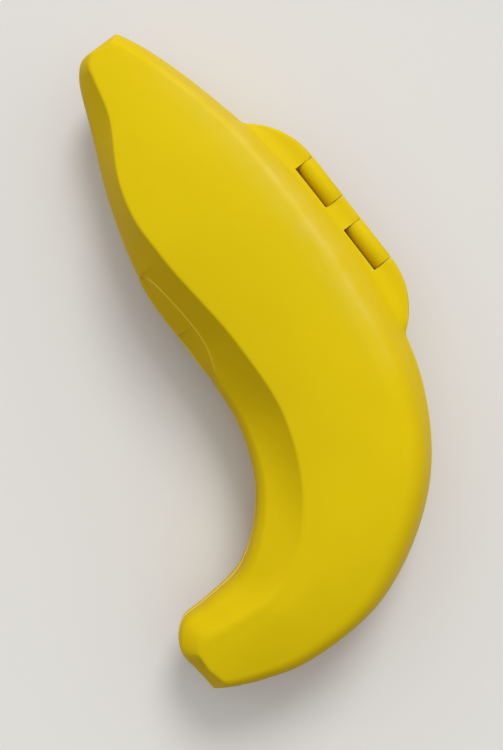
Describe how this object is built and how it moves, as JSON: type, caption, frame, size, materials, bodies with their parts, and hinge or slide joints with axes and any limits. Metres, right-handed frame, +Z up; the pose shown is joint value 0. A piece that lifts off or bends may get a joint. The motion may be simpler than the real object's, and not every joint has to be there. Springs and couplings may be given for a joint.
{
  "type": "banana carrying case",
  "caption": "Hard plastic carrying case shaped like a banana: hollow upper and lower halves meet at a lipped seam, swing on a pinned hinge at the outer curve and open by thumb tabs.",
  "frame": {"origin": "on the flat lower face that the case rests on, under the middle of the case's box in plan", "axes": "+Y from the blossom end to the stem end, +X to the outer curve and its hinge, +Z up through the seam"},
  "size_m": [0.106, 0.238, 0.05],
  "materials": {
    "case_plastic": "fine matte moulded polypropylene, yellow, faint scuffs",
    "pin_plastic": "smooth natural acetal rod"
  },
  "bodies": {
    "lower_half": {"lower_shell": "case_plastic", "lower_hinge_barrels": "case_plastic", "lower_pull_tab": "case_plastic", "locating_lip": "case_plastic"},
    "upper_half": {"upper_shell": "case_plastic", "upper_hinge_leaf": "case_plastic", "upper_pull_tab": "case_plastic", "hinge_pin": "pin_plastic"}
  },
  "joints": [
    {"name": "lid_hinge", "type": "hinge", "parent": "lower_half", "child": "upper_half", "pos_m": [0.03388, 0.04262, 0.025], "axis": [-0.484, 0.8751, 0], "range_deg": [0, 180]}
  ]
}
